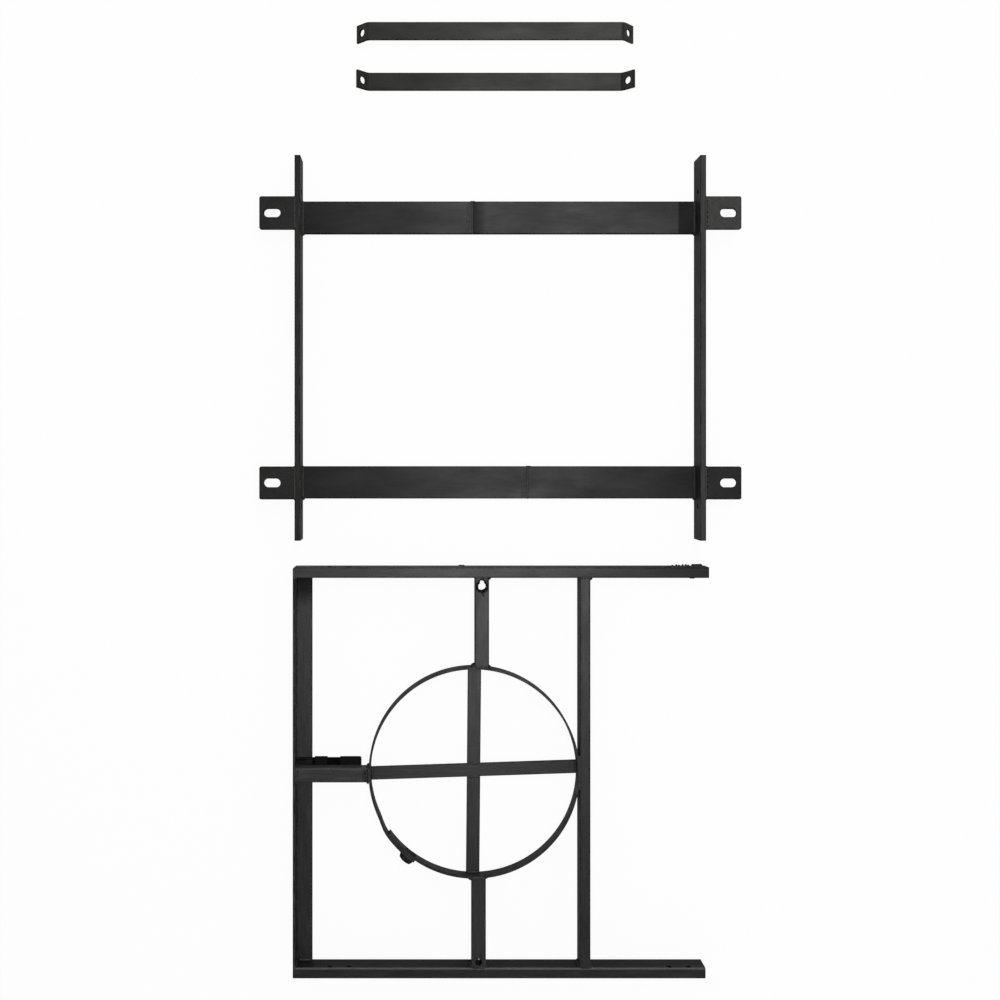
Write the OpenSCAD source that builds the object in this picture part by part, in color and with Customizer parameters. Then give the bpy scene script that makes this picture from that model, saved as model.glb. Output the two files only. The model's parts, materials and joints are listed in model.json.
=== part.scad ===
// Window security guard kit, laid flat: a welded guard with a ring and cross,
// the mounting frame that it lines up with, and two bent stay straps.
// X runs across the window, Y up it, and Z out of the wall. The origin is on
// the floor, under the middle of the whole kit.

/* [Layout] */
// Height of the mounting frame's middle line
frame_y = 210.4; // [205:0.1:225]
// Height of the guard's middle line
guard_y = -384; // [-400:0.1:-384]
// Height of the upper strap's middle line
strap_upper_y = 659.5; // [650:0.1:675]
// Height of the lower strap's middle line
strap_lower_y = 592.8; // [580:0.1:600]
// Sideways place of both straps
strap_x = -5; // [-20:1:20]

/* [Mounting frame] */
// Width over the two posts
frame_w = 573; // [400:1:700]
// Length of each post
post_len = 537; // [460:1:560]
// Thickness of the flat bar that the posts are cut from
post_t = 8; // [5:0.5:10]
// Depth of a post, out of the wall
post_d = 40; // [30:1:50]
// Width of the two cross bars
bar_w = 46; // [30:1:60]
// Thickness of the two cross bars
bar_t = 7; // [4:0.5:10]
// Distance between the middles of the cross bars, and of the ear slots
bar_pitch = 376; // [320:1:400]
// Where the upper bar is welded together from two lengths
upper_seam = -38; // [-120:1:120]
// Where the lower bar is welded together from two lengths
lower_seam = 41; // [-120:1:120]
// Diameter of the pin holes through the posts
post_hole_d = 5; // [3:0.5:8]
// Distance from a cross bar's middle to the pin hole beyond it
post_hole_out = 33; // [28:1:60]
// Height of the pin holes above the wall side of the post
post_hole_z = 24; // [15:1:30]

/* [Ears] */
// Length of each ear, out from its post
ear_len = 49; // [42:1:70]
// Thickness of each ear
ear_t = 5; // [3:0.5:8]
// Corner radius of each ear
ear_corner = 3; // [1:0.5:8]
// Length of the bolt slot
slot_len = 23; // [16:1:30]
// Width of the bolt slot
slot_w = 12; // [6:0.5:14]
// Distance from the post to the middle of the slot
slot_out = 31; // [26:1:32]

/* [Guard] */
// Height over both rails
guard_h = 576; // [480:1:576]
// Length of the top rail
top_rail_len = 583; // [560:1:620]
// Length of the bottom rail
bottom_rail_len = 578; // [560:1:620]
// Distance from the middle of the kit to the free left side of the guard
guard_left = 290; // [280:1:300]
// Face width of the rails and of the right stile
rail_w = 15; // [12:0.5:20]
// Depth of the rails and stiles, out of the wall
guard_d = 30; // [28:1:36]
// Wall thickness of the steel tubes
tube_wall = 1.5; // [1:0.1:2.5]
// Corner radius of the steel tubes
tube_r = 1.6; // [0.8:0.1:2.5]
// Radius ground on the guard's upper left corner
upper_corner = 3; // [1:0.5:4]
// Radius ground on the guard's lower left corner
lower_corner = 1.5; // [1:0.5:4]
// Width of the left stile's flange
angle_w = 25; // [22:1:35]
// Thickness of the left stile's two legs
angle_t = 3; // [2:0.5:4]
// Left face of the right stile
right_stile_x = 112; // [100:1:125]
// Face width of the upper, lower and stub tubes
tube_w = 20; // [16:1:22]
// Middle of the upper tube
upper_tube_x = -25; // [-60:1:0]
// Middle of the lower tube
lower_tube_x = -29.5; // [-60:0.5:0]

/* [Ring] */
// Outer diameter of the ring
ring_d = 296; // [240:1:320]
// Thickness of the ring band and of its overlap
ring_t = 3; // [2:0.5:4]
// Depth of the ring band
ring_depth = 20; // [18:1:22]
// Angle at which the band's inner end starts
lap_start = 216; // [205:1:225]
// Angle that the overlap covers
lap_angle = 20; // [18:1:35]
// Diameter of the bolt through the overlap
ring_bolt_d = 12; // [6:1:12]
// Width of the cross strips
strip_w = 19; // [12:1:25]
// Thickness of the cross strips
strip_t = 3; // [2:0.5:4]
// Slope of the long cross strip
cross_tilt = 1.9; // [-3:0.1:3]
// Lean of the two short cross strips
cross_lean = 0.5; // [-1:0.1:1]

/* [Fixing holes] */
// Diameter of the pin holes through the rails
rail_hole_d = 6.5; // [4:0.5:9]
// Distance between the two pin holes of a pair
rail_hole_pitch = 27; // [20:1:40]
// Middle of the left pair of pin holes
rail_pair_left = -225; // [-240:0.5:-190]
// Middle of the right pair of pin holes
rail_pair_right = 251.5; // [180:0.5:260]
// Height of the pin holes above the wall side of the rail
rail_hole_z = 24.5; // [10:0.5:25]
// Diameter of the screw hole through the lower tube
screw_hole_d = 9.5; // [5:0.5:10]
// Diameter of the round hole through the upper tube
keyhole_d = 13; // [8:0.5:15]
// Width of the short slot above that hole, in the tube's front wall
keyhole_slot = 5; // [3:0.5:7]

/* [Latch] */
// How far the latch bolt travels
latch_travel = 18; // [8:1:20]
// Width of the flat latch bolt
latch_bolt_w = 18; // [12:1:20]
// Thickness of the flat latch bolt
latch_bolt_t = 3.5; // [3:0.5:4]

/* [Straps] */
// Length of a strap, over its bent tabs
strap_len = 394; // [300:1:450]
// Width of a strap
strap_w = 25; // [20:1:30]
// Thickness of a strap
strap_t = 3; // [2:0.5:4]
// How far each tab reaches along the strap
tab_run = 20; // [18:1:30]
// Angle that each tab is bent through
tab_bend = 46; // [30:1:60]
// Diameter of the hole in each tab
tab_hole_d = 10.5; // [6:0.5:12]
// Distance from the end of a tab to the middle of its hole
tab_hole_in = 11; // [9:0.5:12]
// Inner radius of each bend
bend_r = 8; // [3:0.5:10]

/* [Hidden] */
eps = 0.02;
cut = 2;
round_fn = 48;

// Mounting frame
post_out_x = frame_w / 2;
post_in_x = post_out_x - post_t;
upper_bar_y = frame_y + bar_pitch / 2;
lower_bar_y = frame_y - bar_pitch / 2;
flat_r = 0.8;

// Guard
guard_top = guard_y + guard_h / 2;
guard_bottom = guard_y - guard_h / 2;
bay_top = guard_top - rail_w;
bay_bottom = guard_bottom + rail_w;
cap_t = 2;
cap_inset = 1;

// Ring, which touches the right stile with its outer face
ring_r = ring_d / 2;
ring_x = right_stile_x - ring_r;
ring_y = guard_y;
ring_z = guard_d - ring_depth;
ring_in = ring_r - ring_t;
joggle_angle = 12;
band_steps = 128;
lap_gap = 0.3;
ring_bolt_angle = lap_start + 16;
lap_out = ring_r + lap_gap + ring_t;
nut_af = 19;
nut_h = 7;
nut_seat = lap_out + 0.05;
head_d = ring_bolt_d + 2 * ring_t;
bolt_play = 0.25;
bolt_past = 1;
strip_end = 0.4;

// Stub tube and latch, between the left stile and the ring
stub_y = ring_y - 3.5;
stub_x0 = -guard_left + angle_t;
stub_x1 = ring_x - ring_r;
latch_y = stub_y + 7.5;
plate_x0 = stub_x0 + 0.5;
plate_x1 = -195;
plate_t = 1.5;
plate_w = 23;
bolt_z0 = angle_t + plate_t + 0.4;
guide_gap = 0.3;
guide_side = 4;
guide_left_x = [-261, -243];
guide_right_x = [-225, -196];
knob_d = 9;
knob_h = 1.8;
knob_stem_d = 6;
knob_x = -230;
rivet_d = 4;
rivet_x = [-280, -269];

// Straps
bend_steps = 14;
tab_straight = (tab_run - (bend_r + strap_t) * sin(tab_bend)) / cos(tab_bend);
strap_body = strap_len - 2 * tab_run;
strap_h = strap_t + bend_r * (1 - cos(tab_bend)) + tab_straight * sin(tab_bend);

// Colours
steel_black = [0.18, 0.18, 0.18];
frame_black = [0.20, 0.20, 0.20];
latch_black = [0.05, 0.05, 0.05];
strap_black = [0.20, 0.20, 0.18];
bolt_black = [0.08, 0.08, 0.08];

// Rectangle with round corners, centred
module round_rect(w, h, r) {
    square([w - 2 * r, h], center = true);
    square([w, h - 2 * r], center = true);
    for (sx = [-1, 1], sy = [-1, 1])
        translate([sx * (w / 2 - r), sy * (h / 2 - r)]) circle(r, $fn = round_fn);
}

// Turns a section (width, depth) extruded along Z so that it runs along +X
module along_x() {
    rotate([90, 0, 90]) children();
}

// Turns a section (width, depth) extruded along Z so that it runs along +Y
module along_y() {
    mirror([0, 1, 0]) rotate([90, 0, 0]) children();
}

// Straight piece with a solid section, from its low end along +Z
module solid_bar(w, d, len, r) {
    linear_extrude(len) round_rect(w, d, r);
}

// Straight piece of steel tube, from its low end along +Z
module steel_tube(w, d, len) {
    linear_extrude(len) difference() {
        round_rect(w, d, tube_r);
        square([w - 2 * tube_wall, d - 2 * tube_wall], center = true);
    }
}

// Slot with round ends along X, through a plate that lies on z = 0
module slot_cut(len, w, depth) {
    reach = len / 2 - w / 2;
    translate([-reach, -w / 2, -cut]) cube([2 * reach, w, depth + 2 * cut]);
    for (side = [-1, 1])
        translate([side * reach, 0, -cut])
            cylinder(d = w, h = depth + 2 * cut, $fn = round_fn);
}

// ---- Mounting frame ----

// Flat bar on edge, with a pin hole beyond each cross bar
module post(side) {
    color(frame_black) difference() {
        translate([side * (post_out_x - post_t / 2), frame_y - post_len / 2, post_d / 2])
            along_y() solid_bar(post_t, post_d, post_len, flat_r);
        for (y = [upper_bar_y + post_hole_out, lower_bar_y - post_hole_out])
            translate([side * post_in_x - cut * side, y, post_hole_z])
                rotate([0, 90 * side, 0])
                    cylinder(d = post_hole_d, h = post_t + 2 * cut, $fn = round_fn);
    }
}

// One length of a cross bar: two of them are butt-welded at the seam
module bar_length(x0, x1, y) {
    color(frame_black) translate([x0, y, bar_t / 2])
        along_x() solid_bar(bar_w, bar_t, x1 - x0, flat_r);
}

// Slotted ear, flush with the front edge of its post
module ear(side, y) {
    x0 = side > 0 ? post_out_x : -post_out_x - ear_len;
    square_x0 = side > 0 ? x0 : x0 + ear_corner;
    color(frame_black) difference() {
        translate([0, y, post_d - ear_t]) linear_extrude(ear_t) {
            translate([x0 + ear_len / 2, 0]) round_rect(ear_len, bar_w, ear_corner);
            translate([square_x0, -bar_w / 2]) square([ear_len - ear_corner, bar_w]);
        }
        translate([side * (post_out_x + slot_out), y, post_d - ear_t])
            slot_cut(slot_len, slot_w, ear_t);
    }
}

module post_left() post(-1);
module post_right() post(1);
module upper_bar_left() bar_length(-post_in_x, upper_seam, upper_bar_y);
module upper_bar_right() bar_length(upper_seam, post_in_x, upper_bar_y);
module lower_bar_left() bar_length(-post_in_x, lower_seam, lower_bar_y);
module lower_bar_right() bar_length(lower_seam, post_in_x, lower_bar_y);
module ear_upper_left() ear(-1, upper_bar_y);
module ear_upper_right() ear(1, upper_bar_y);
module ear_lower_left() ear(-1, lower_bar_y);
module ear_lower_right() ear(1, lower_bar_y);

// ---- Guard ----

// What is ground off a square corner of radius r at the origin, towards +X and +Y
module ground_corner(r) {
    translate([0, 0, -cut]) linear_extrude(guard_d + 2 * cut) difference() {
        translate([-cut, -cut]) square(r + cut);
        translate([r, r]) circle(r, $fn = round_fn);
    }
}

// Rectangular tube with two pairs of pin holes, from the left side to its free end.
// Its left corner on the outer side, above (1) or below (-1), is ground round.
module rail(outer, y, len, corner_r) {
    color(steel_black) difference() {
        translate([-guard_left, y, guard_d / 2]) along_x() steel_tube(rail_w, guard_d, len);
        translate([-guard_left, y + outer * rail_w / 2, 0])
            mirror([0, outer > 0 ? 1 : 0, 0]) ground_corner(corner_r);
        for (pair = [rail_pair_left, rail_pair_right], side = [-1, 1])
            translate([pair + side * rail_hole_pitch / 2, y - rail_w / 2 - cut, rail_hole_z])
                along_y() cylinder(d = rail_hole_d, h = rail_w + 2 * cut, $fn = round_fn);
    }
}

module top_rail() rail(1, guard_top - rail_w / 2, top_rail_len, upper_corner);
module bottom_rail() rail(-1, guard_bottom + rail_w / 2, bottom_rail_len, lower_corner);

// Plates welded into the ends of both rails
module rail_end_plates() {
    rails = [
        [guard_top - rail_w / 2, top_rail_len],
        [guard_bottom + rail_w / 2, bottom_rail_len]
    ];
    fit = 0.05;
    plate_y = rail_w - 2 * tube_wall - 2 * fit;
    plate_z = guard_d - 2 * tube_wall - 2 * fit;
    color(steel_black) for (r = rails, x = [cap_inset, r[1] - cap_t - cap_inset])
        translate([-guard_left + x, r[0] - plate_y / 2, (guard_d - plate_z) / 2])
            cube([cap_t, plate_y, plate_z]);
}

// Angle: its flange lies on the wall side and its leg stands on the free side
module left_stile() {
    h = bay_top - bay_bottom;
    slot_y0 = latch_y - latch_bolt_w / 2 - guide_gap;
    color(steel_black) difference() {
        union() {
            translate([-guard_left, bay_bottom, 0]) cube([angle_w, h, angle_t]);
            translate([-guard_left, bay_bottom, 0]) cube([angle_t, h, guard_d]);
        }
        translate([-guard_left - cut, slot_y0, bolt_z0 - guide_gap])
            cube([angle_t + 2 * cut, latch_bolt_w + 2 * guide_gap, latch_bolt_t + 2 * guide_gap]);
        for (x = rivet_x)
            translate([x, latch_y, -cut]) cylinder(d = rivet_d, h = angle_t + 2 * cut, $fn = round_fn);
    }
}

module right_stile() {
    color(steel_black) translate([right_stile_x + rail_w / 2, bay_bottom, guard_d / 2])
        along_y() steel_tube(rail_w, guard_d, bay_top - bay_bottom);
}

// Square tube between a rail and the ring
module square_tube(x, y0, y1) {
    translate([x, y0, guard_d - tube_w / 2]) along_y() steel_tube(tube_w, tube_w, y1 - y0);
}

// Upper tube, with a round hole through it that is drawn up into a slot in front
module upper_tube() {
    y0 = ring_y + ring_r;
    hole_y = bay_top - 12;
    slot_top = 10;
    color(steel_black) difference() {
        square_tube(upper_tube_x, y0, bay_top);
        translate([upper_tube_x, hole_y, guard_d - tube_w - cut])
            cylinder(d = keyhole_d, h = tube_w + 2 * cut, $fn = round_fn);
        translate([upper_tube_x - keyhole_slot / 2, hole_y, guard_d - tube_w / 2])
            cube([keyhole_slot, slot_top, tube_w]);
    }
}

// Lower tube, with a screw hole straight through its foot
module lower_tube() {
    y1 = ring_y - ring_r;
    wall_z = guard_d - tube_w;
    color(steel_black) difference() {
        square_tube(lower_tube_x, bay_bottom, y1);
        translate([lower_tube_x, bay_bottom + 8, wall_z - cut])
            cylinder(d = screw_hole_d, h = tube_w + 2 * cut, $fn = round_fn);
    }
}

module stub_tube() {
    color(steel_black) translate([stub_x0, stub_y, guard_d - tube_w / 2])
        along_x() steel_tube(tube_w, tube_w, stub_x1 - stub_x0);
}

// ---- Ring ----

// How far the band has stepped outwards at an angle, from its inner end to its outer
function lap_shift(a) =
    let (s = (a - lap_start - 360 + joggle_angle) / joggle_angle, t = max(0, min(1, s)))
    (ring_t + lap_gap) * t * t * (3 - 2 * t);

// Points of one edge of the band, which laps over its own inner end
function band_edge(r) = [
    for (i = [0 : band_steps])
        let (a = lap_start + i * (360 + lap_angle) / band_steps)
        (r + lap_shift(a)) * [cos(a), sin(a)]
];

function reversed(v) = [for (i = [len(v) - 1 : -1 : 0]) v[i]];

// Puts a fastener or a hole on the overlap's radius, with +Z pointing out of the ring
module on_lap(r) {
    translate([ring_x, ring_y, ring_z]) rotate([0, 0, ring_bolt_angle])
        translate([r, 0, ring_depth / 2]) rotate([0, 90, 0]) children();
}

// Countersunk shape: a cone through the inner layer, then straight out to a height
module countersunk(play, height) {
    cylinder(d1 = head_d + 2 * play, d2 = ring_bolt_d + 2 * play, h = ring_t, $fn = round_fn);
    cylinder(d = ring_bolt_d + 2 * play, h = height, $fn = round_fn);
}

// The band, with a countersunk hole along a radius through both layers of its overlap
module ring_band() {
    color(steel_black) difference() {
        translate([ring_x, ring_y, ring_z]) linear_extrude(ring_depth)
            polygon(concat(band_edge(ring_in), reversed(band_edge(ring_r))));
        on_lap(ring_in) countersunk(bolt_play, lap_out - ring_in + cut);
        on_lap(ring_in - cut) cylinder(d = head_d + 2 * bolt_play, h = cut + eps, $fn = round_fn);
    }
}

// Countersunk bolt, flush inside the ring
module ring_bolt() {
    color(bolt_black) on_lap(ring_in) countersunk(0, nut_seat + nut_h + bolt_past - ring_in);
}

module ring_nut() {
    color(bolt_black) on_lap(nut_seat) difference() {
        intersection() {
            rotate([0, 0, 30]) cylinder(d = nut_af / cos(30), h = nut_h, $fn = 6);
            cylinder(d1 = nut_af * 1.3, d2 = nut_af * 0.94, h = nut_h, $fn = round_fn);
        }
        translate([0, 0, -cut]) cylinder(d = ring_bolt_d, h = nut_h + 2 * cut, $fn = round_fn);
    }
}

// Flat strip inside the ring, in the plane of the ring's wall side
module strip(from, to) {
    translate([ring_x, ring_y, ring_z + strip_t / 2]) rotate([0, 0, cross_tilt])
        translate([from, 0, 0]) along_x() solid_bar(strip_w, strip_t, to - from, flat_r);
}

module cross_strip_across() {
    reach = sqrt(pow(ring_in, 2) - pow(strip_w / 2, 2)) - eps;
    color(steel_black) strip(-reach, reach);
}

// Short strip between the long strip and the ring, up (1) or down (-1)
module short_strip(side) {
    reach = sqrt(pow(ring_in, 2) - pow(strip_w / 2, 2)) - eps;
    start = strip_w / 2 + strip_end;
    color(steel_black) translate([ring_x, ring_y, ring_z + strip_t / 2])
        rotate([0, 0, side * 90 - cross_lean]) translate([start, 0, 0])
            along_x() solid_bar(strip_w, strip_t, reach - start, flat_r);
}

module cross_strip_upper() short_strip(1);
module cross_strip_lower() short_strip(-1);

// ---- Latch, behind the stub tube ----

module latch_plate() {
    color(latch_black) difference() {
        translate([plate_x0, latch_y - plate_w / 2, angle_t])
            cube([plate_x1 - plate_x0, plate_w, plate_t]);
        for (x = rivet_x)
            translate([x, latch_y, 0]) cylinder(d = rivet_d, h = angle_t * 3, $fn = round_fn);
        translate([knob_x - latch_travel / 2, latch_y, angle_t])
            slot_cut(latch_travel + knob_stem_d + 1, knob_stem_d + 1, plate_t);
    }
}

// Two flush rivets that hold the plate on the stile's flange
module latch_rivets() {
    color(latch_black) for (x = rivet_x)
        translate([x, latch_y, 0]) cylinder(d = rivet_d, h = angle_t + plate_t, $fn = round_fn);
}

// Staple that the bolt slides through
module latch_guide(range_x) {
    z0 = angle_t + plate_t;
    z1 = guard_d - tube_w;
    span = latch_bolt_w + 2 * guide_gap;
    channel_h = bolt_z0 + latch_bolt_t + guide_gap - z0;
    length = range_x[1] - range_x[0];
    color(latch_black) difference() {
        translate([range_x[0], latch_y - span / 2 - guide_side, z0])
            cube([length, span + 2 * guide_side, z1 - z0]);
        translate([range_x[0] - cut, latch_y - span / 2, z0 - cut])
            cube([length + 2 * cut, span, channel_h + cut]);
    }
}

module latch_guide_outer() latch_guide(guide_left_x);
module latch_guide_inner() latch_guide(guide_right_x);

module latch_bolt() {
    tail_x = plate_x1 - 1;
    color(latch_black) translate([-guard_left, latch_y - latch_bolt_w / 2, bolt_z0])
        cube([tail_x + guard_left, latch_bolt_w, latch_bolt_t]);
}

// Stem through the slot in the plate, with a flat button behind it
module latch_knob() {
    knob_z0 = 0.8;
    color(latch_black) translate([knob_x, latch_y, knob_z0]) {
        cylinder(d = knob_d, h = knob_h, $fn = round_fn);
        cylinder(d = knob_stem_d, h = bolt_z0 - knob_z0, $fn = round_fn);
    }
}

// ---- Straps ----

// Points of one side of the right half, round the bend and out to the end of the tab,
// at a distance inwards from the strap's back
function strap_side(inwards) =
    let (r = bend_r + strap_t - inwards, centre = [strap_body / 2, strap_t + bend_r])
    concat(
        [for (i = [0 : bend_steps])
            let (a = i * tab_bend / bend_steps)
            centre + r * [sin(a), -cos(a)]],
        [centre + r * [sin(tab_bend), -cos(tab_bend)]
            + tab_straight * [cos(tab_bend), sin(tab_bend)]]
    );

function flipped(v) = [for (p = v) [-p[0], p[1]]];

// The bent outline, in the strap's length and height
module strap_outline() {
    back = strap_side(0);
    inside = strap_side(strap_t);
    polygon(concat(reversed(flipped(back)), back, reversed(inside), flipped(inside)));
}

// Strap with both tabs bent up, lying on z = 0
module bent_strap() {
    hole_at = tab_straight - tab_hole_in;
    difference() {
        translate([0, -strap_w / 2, 0]) along_y() linear_extrude(strap_w) strap_outline();
        for (side = [0, 1]) mirror([side, 0, 0])
            translate([strap_body / 2, 0, strap_t + bend_r]) rotate([0, -tab_bend, 0])
                translate([hole_at, 0, -bend_r - strap_t - cut])
                    cylinder(d = tab_hole_d, h = strap_t + 2 * cut, $fn = round_fn);
    }
}

// The upper strap stands on the ends of its tabs
module strap_upper() {
    color(strap_black) translate([strap_x, strap_upper_y, strap_h])
        mirror([0, 0, 1]) bent_strap();
}

// The lower strap lies on its back
module strap_lower() {
    color(strap_black) translate([strap_x, strap_lower_y, 0]) bent_strap();
}

post_left();
post_right();
upper_bar_left();
upper_bar_right();
lower_bar_left();
lower_bar_right();
ear_upper_left();
ear_upper_right();
ear_lower_left();
ear_lower_right();
top_rail();
bottom_rail();
rail_end_plates();
left_stile();
right_stile();
upper_tube();
lower_tube();
stub_tube();
ring_band();
ring_bolt();
ring_nut();
cross_strip_across();
cross_strip_upper();
cross_strip_lower();
latch_plate();
latch_rivets();
latch_guide_outer();
latch_guide_inner();
latch_bolt();
latch_knob();
strap_upper();
strap_lower();
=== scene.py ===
"""Looks for the window guard kit: paints with painted light and shade, weld beads, burrs, black
marks with painted shade, floor, light and camera.
"""

import json
import math
import random

import bpy
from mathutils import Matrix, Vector, noise


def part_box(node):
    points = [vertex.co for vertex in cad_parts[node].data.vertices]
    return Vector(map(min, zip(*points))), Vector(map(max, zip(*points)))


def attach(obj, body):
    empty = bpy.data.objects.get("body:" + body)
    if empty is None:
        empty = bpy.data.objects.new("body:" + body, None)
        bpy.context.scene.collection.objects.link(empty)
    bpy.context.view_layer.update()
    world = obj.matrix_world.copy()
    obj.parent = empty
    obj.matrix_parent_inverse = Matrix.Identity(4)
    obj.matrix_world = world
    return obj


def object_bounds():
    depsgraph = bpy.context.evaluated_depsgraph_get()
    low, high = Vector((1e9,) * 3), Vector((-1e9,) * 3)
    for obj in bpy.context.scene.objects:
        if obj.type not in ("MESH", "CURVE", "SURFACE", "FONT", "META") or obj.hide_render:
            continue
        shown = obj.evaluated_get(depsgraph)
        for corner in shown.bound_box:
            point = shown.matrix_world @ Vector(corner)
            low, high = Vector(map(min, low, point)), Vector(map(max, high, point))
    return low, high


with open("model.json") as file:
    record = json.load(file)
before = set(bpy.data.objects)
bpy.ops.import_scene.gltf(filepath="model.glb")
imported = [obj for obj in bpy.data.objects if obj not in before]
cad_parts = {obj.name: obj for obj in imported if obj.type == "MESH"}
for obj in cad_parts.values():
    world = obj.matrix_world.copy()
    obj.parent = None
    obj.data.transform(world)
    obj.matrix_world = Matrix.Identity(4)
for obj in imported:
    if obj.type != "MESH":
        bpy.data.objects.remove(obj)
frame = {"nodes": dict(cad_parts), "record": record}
cad_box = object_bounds()
scene = bpy.context.scene
nodes = frame["nodes"]

X = Vector((1, 0, 0))
Y = Vector((0, 1, 0))
Z = Vector((0, 0, 1))
MM = 0.001


# ---------------------------------------------------------------- materials


class Shader:
    """A node tree with short calls for the nodes that the paints are made of."""

    def __init__(self, name):
        self.material = bpy.data.materials.new(name)
        self.material.use_nodes = True
        self.tree = self.material.node_tree
        self.bsdf = self.tree.nodes["Principled BSDF"]
        self.coords = self.tree.nodes.new("ShaderNodeTexCoord").outputs["Object"]

    def node(self, kind, **inputs):
        made = self.tree.nodes.new(kind)
        for key, value in inputs.items():
            self.feed(made.inputs[key], value)
        return made

    def feed(self, socket, value):
        if isinstance(value, bpy.types.NodeSocket):
            self.tree.links.new(value, socket)
        else:
            socket.default_value = value

    def place(self, axis):
        """Distance along an axis of the shared frame, in metres."""
        return self.node("ShaderNodeSeparateXYZ", Vector=self.coords).outputs[axis]

    def facing(self, axis):
        """How squarely a face looks along an axis, from -1 to 1."""
        normal = self.tree.nodes.new("ShaderNodeTexCoord").outputs["Normal"]
        return self.node("ShaderNodeSeparateXYZ", Vector=normal).outputs[axis]

    def stretched(self, scale):
        mapping = self.node("ShaderNodeMapping", Vector=self.coords)
        mapping.inputs["Scale"].default_value = scale
        return mapping.outputs[0]

    def noise(self, scale, detail=2.0, rough=0.5, stretch=(1, 1, 1)):
        made = self.node("ShaderNodeTexNoise", Vector=self.stretched(stretch))
        made.inputs["Scale"].default_value = scale
        made.inputs["Detail"].default_value = detail
        made.inputs["Roughness"].default_value = rough
        return made.outputs["Fac"]

    def ramp(self, value, low, high, out_low=0.0, out_high=1.0):
        made = self.node("ShaderNodeMapRange")
        self.feed(made.inputs["Value"], value)
        made.inputs["From Min"].default_value = low
        made.inputs["From Max"].default_value = high
        made.inputs["To Min"].default_value = out_low
        made.inputs["To Max"].default_value = out_high
        return made.outputs["Result"]

    def math(self, operation, a, b):
        made = self.tree.nodes.new("ShaderNodeMath")
        made.operation = operation
        self.feed(made.inputs[0], a)
        self.feed(made.inputs[1], b)
        return made.outputs[0]

    def mix(self, factor, a, b):
        made = self.tree.nodes.new("ShaderNodeMix")
        made.data_type = "RGBA"
        self.feed(made.inputs["Factor"], factor)
        self.feed(made.inputs["A"], a)
        self.feed(made.inputs["B"], b)
        return made.outputs["Result"]

    def bump(self, height, strength, distance, normal=None):
        made = self.node("ShaderNodeBump", Height=height)
        made.inputs["Strength"].default_value = strength
        made.inputs["Distance"].default_value = distance
        if normal is not None:
            self.feed(made.inputs["Normal"], normal)
        return made.outputs["Normal"]


def grey(level, tint=(1.0, 1.0, 1.0)):
    return (level * tint[0], level * tint[1], level * tint[2], 1.0)


# Scales of the noises in the paints, in waves per metre
CLOUDS = 16
GLOSS_CLOUDS = 34
PATCHES = 60
SMUDGES = 95
DENTS = 120
PITS = 420
BRUSH_LINES = 430
DUST = 610
PEBBLES = 820
WELD_GLOSS = 200
WELD_GRIT = 700
WELD_GRAIN = 1500

# Scale of the brush lines along the strokes, and how far in an edge is marked, in metres
BRUSH_STRETCH = 0.06
EDGE_RADIUS = 0.003

# Added to or taken from the roughness on edges with painted shade, in painted shade, on rims with
# a painted highlight and on rubbed spots
EDGE_ROUGHENS = 0.4
SHADE_ROUGHENS = 0.5
RIM_SMOOTHS = 0.4
RUB_SMOOTHS = 0.12

# Greys of dust, of rubbed steel and of the painted shade on undersides, and the reflection's tint
# under painted shade
DUST_GREY = 0.16
RUBBED_GREY = 0.11
UNDER_SHADE_GREY = 0.002
PAINTED_SHADE_TINT = 0.1


def brushed_coat(s, level, tint, grain, streaks):
    """Colour of a cloudy, smudged, streaked, pitted and dusty coat, and its brush lines."""
    clouds = s.ramp(s.noise(CLOUDS, 3, 0.55, grain), 0.3, 0.7)
    body = s.mix(clouds, grey(level * 0.55, tint), grey(level * 1.45, tint))
    smudge = s.ramp(s.noise(SMUDGES, 4, 0.6, grain), 0.45, 0.75)
    fine = tuple(1.0 if part == 1 else BRUSH_STRETCH for part in grain)
    brushed = s.noise(BRUSH_LINES, 3, 0.6, fine)
    light_lines = s.ramp(brushed, 0.5, 0.72)
    dark_lines = s.ramp(brushed, 0.5, 0.3)
    pits = s.ramp(s.noise(PITS, 2, 0.5), 0.66, 0.72)
    dust = s.ramp(s.noise(DUST, 1, 0.4), 0.73, 0.77)
    for mask, share, colour in (
        (smudge, 0.45, grey(level * 2.4, tint)),
        (light_lines, streaks, grey(level * 2.6, tint)),
        (dark_lines, streaks, grey(level * 0.2, tint)),
        (pits, 0.5, grey(level * 0.45, tint)),
        (dust, 0.35, grey(DUST_GREY, tint)),
    ):
        body = s.mix(s.math("MULTIPLY", mask, share), body, colour)
    return body, brushed


def edge_masks(s, wear):
    """The normal rounded at edges, and masks of all edges, of rubbed ones, and of the rest, which
    get painted shade.
    """
    bevel = s.tree.nodes.new("ShaderNodeBevel")
    bevel.samples = 4
    bevel.inputs["Radius"].default_value = EDGE_RADIUS
    rounded = bevel.outputs[0]
    flat = s.tree.nodes.new("ShaderNodeNewGeometry").outputs["Normal"]
    dot = s.tree.nodes.new("ShaderNodeVectorMath")
    dot.operation = "DOT_PRODUCT"
    s.feed(dot.inputs[0], rounded)
    s.feed(dot.inputs[1], flat)
    edge = s.ramp(dot.outputs["Value"], 0.99, 0.9)
    patches = s.ramp(s.noise(PATCHES, 3, 0.6), 0.42, 0.62)
    rubbed = s.math("MULTIPLY", s.math("MULTIPLY", edge, patches), wear)
    kept = s.math("SUBTRACT", 1.0, s.math("MULTIPLY", patches, wear))
    return rounded, edge, rubbed, s.math("MULTIPLY", edge, kept)


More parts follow.
